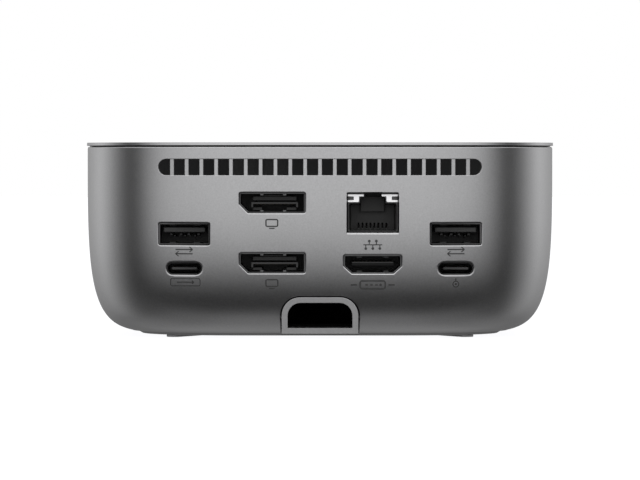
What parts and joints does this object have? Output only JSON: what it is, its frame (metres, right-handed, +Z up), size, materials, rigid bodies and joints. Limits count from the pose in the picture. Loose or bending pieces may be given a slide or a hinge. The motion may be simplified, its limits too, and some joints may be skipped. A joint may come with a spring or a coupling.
{
  "type": "laptop docking station",
  "caption": "Bowl-shaped desktop docking station with rear video, network and USB ports, a vent row, a cable portal, a blower and a power button.",
  "frame": {"origin": "centre of the square footprint, on the table under the feet", "axes": "+Z up; -Y is the rear face with the large ports; +Y is the user's side; +X is to the right when looking at the rear"},
  "size_m": [0.1224, 0.1224, 0.0504],
  "materials": {
    "shell_metal": "bead-blasted, dark space grey, satin",
    "cover_metal": "bead-blasted, space grey, satin with a bright chamfer",
    "base_metal": "moulded, painted satin grey",
    "foot_rubber": "matt grey",
    "screw_steel": "plain steel",
    "connector_metal": "thin plated sheet, dark",
    "connector_plastic": "moulded black",
    "black_plastic": "moulded black",
    "light_guide": "milky white",
    "circuit_board": "green solder mask",
    "chip_package": "moulded black",
    "thermal_pad": "soft pad, blue-grey",
    "heat_sink_metal": "extruded, bare"
  },
  "bodies": {
    "dock": {"main_shell": "shell_metal", "top_cover": "cover_metal", "bottom_cover": "base_metal", "foot_rear_left": "foot_rubber", "foot_rear_right": "foot_rubber", "foot_front_left": "foot_rubber", "foot_front_right": "foot_rubber", "case_screw_rear_left": "screw_steel", "case_screw_rear_right": "screw_steel", "case_screw_front_left": "screw_steel", "case_screw_front_right": "screw_steel", "chassis_frame": "black_plastic", "main_board": "circuit_board", "controller_chip": "chip_package", "hub_chip": "chip_package", "network_chip": "chip_package", "thermal_pad": "thermal_pad", "power_coil": "chip_package", "heat_sink": "heat_sink_metal", "fan_housing": "black_plastic", "fan_cover": "screw_steel", "fan_spindle": "screw_steel", "left_usb_body": "black_plastic", "left_usb_a_shell": "connector_metal", "left_usb_a_tongue": "connector_plastic", "left_usb_c_shell": "connector_metal", "left_usb_c_tongue": "connector_plastic", "right_usb_body": "black_plastic", "right_usb_a_shell": "connector_metal", "right_usb_a_tongue": "connector_plastic", "right_usb_c_shell": "connector_metal", "right_usb_c_tongue": "connector_plastic", "display_body": "black_plastic", "display_upper_shell": "connector_metal", "display_upper_tongue": "connector_plastic", "display_lower_shell": "connector_metal", "display_lower_tongue": "connector_plastic", "video_network_body": "black_plastic", "video_shell": "connector_metal", "video_tongue": "connector_plastic", "network_jack_insert": "black_plastic", "network_light_guide_left": "light_guide", "network_light_guide_right": "light_guide", "cable_tunnel": "black_plastic", "host_port_bracket": "black_plastic", "host_port_shell": "connector_metal", "host_port_tongue": "connector_plastic", "front_usb_c_shell": "connector_metal", "front_usb_c_tongue": "connector_plastic", "audio_jack": "black_plastic", "power_inlet_body": "black_plastic", "power_inlet_pin": "screw_steel", "lock_plate": "screw_steel", "power_light_ring": "light_guide", "power_switch": "black_plastic", "button_board": "circuit_board"},
    "power_button": {"power_button": "cover_metal", "switch_plunger": "connector_plastic"},
    "blower_rotor": {"fan_rotor": "black_plastic"}
  },
  "joints": [
    {"name": "power_button_press", "type": "slide", "parent": "dock", "child": "power_button", "axis": [0, 0, -1], "range_m": [0, 0.0008], "stiffness_N_per_m": 600},
    {"name": "blower_spin", "type": "hinge", "parent": "dock", "child": "blower_rotor", "pos_m": [0, -0.002, 0.0434], "axis": [0, 0, 1], "continuous": true}
  ]
}
